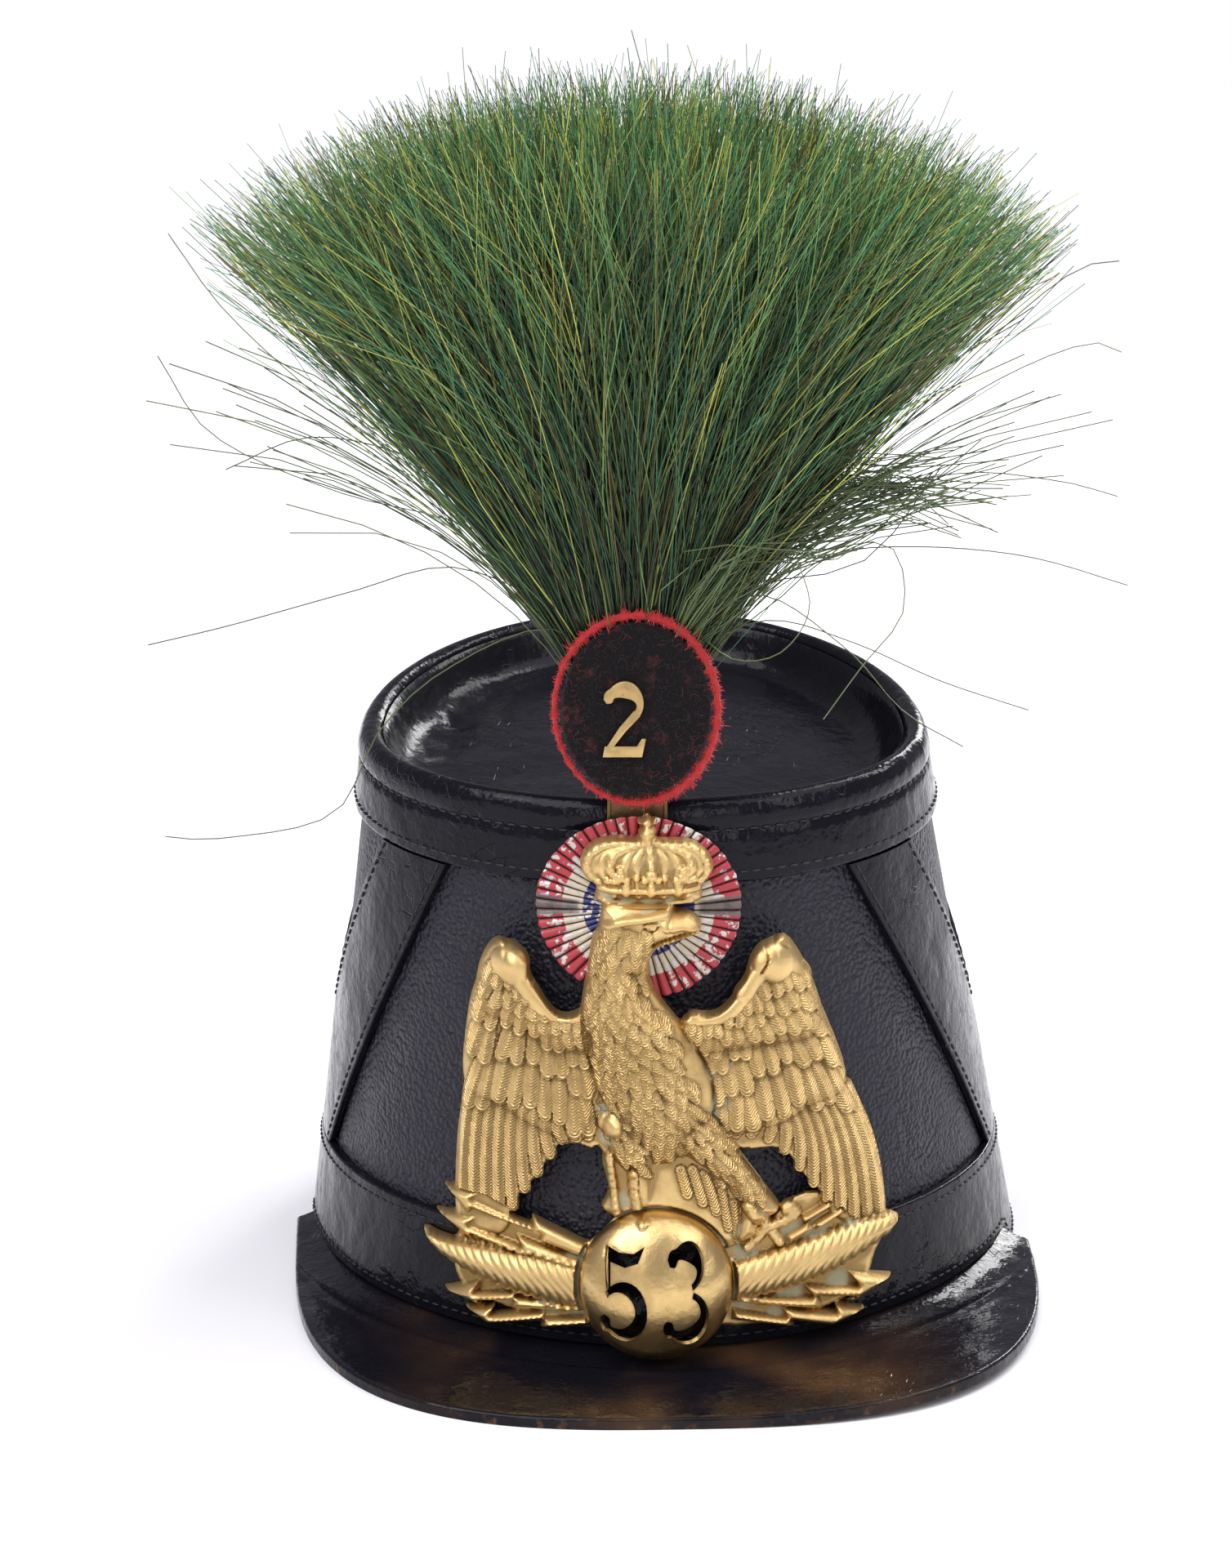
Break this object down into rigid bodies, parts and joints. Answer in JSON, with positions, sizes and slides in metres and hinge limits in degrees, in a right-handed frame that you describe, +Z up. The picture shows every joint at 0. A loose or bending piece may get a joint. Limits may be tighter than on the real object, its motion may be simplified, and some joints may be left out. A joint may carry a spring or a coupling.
{
  "type": "shako hat",
  "caption": "Tapering leather shako with a flat peak, side strips, pleated cockade, crowned eagle plate with a pierced number ball, oval disc and fanned horsehair plume.",
  "frame": {"origin": "centre of the head opening, in the plane that the hat stands on", "axes": "+Z up along the wall towards the top panel, -Y to the front, +X to the viewer's right when facing the eagle plate"},
  "size_m": [0.185, 0.2394, 0.2874],
  "materials": {
    "grained_leather": "pebble-grained, dyed black, half gloss",
    "patent_leather": "lacquered black, glossy, fine cracks",
    "brass": "stamped sheet, satin gold with pale tarnish in the hollows",
    "painted_tin": "pleated, painted in three rings, worn to the metal on the folds",
    "black_felt": "napped wool",
    "red_chenille": "twisted wool pile",
    "green_horsehair": "dyed straight hair, soft sheen"
  },
  "bodies": {
    "root": {"body": "grained_leather", "top_panel": "patent_leather", "top_band": "patent_leather", "bottom_band": "patent_leather", "side_strip_left": "patent_leather", "side_strip_right": "patent_leather", "peak": "patent_leather", "plume_holder": "brass", "cockade": "painted_tin", "eagle_plate": "brass", "number_ball": "brass", "pompom_disc": "black_felt", "disc_edging": "red_chenille", "disc_number": "brass", "plume": "green_horsehair"}
  },
  "joints": []
}
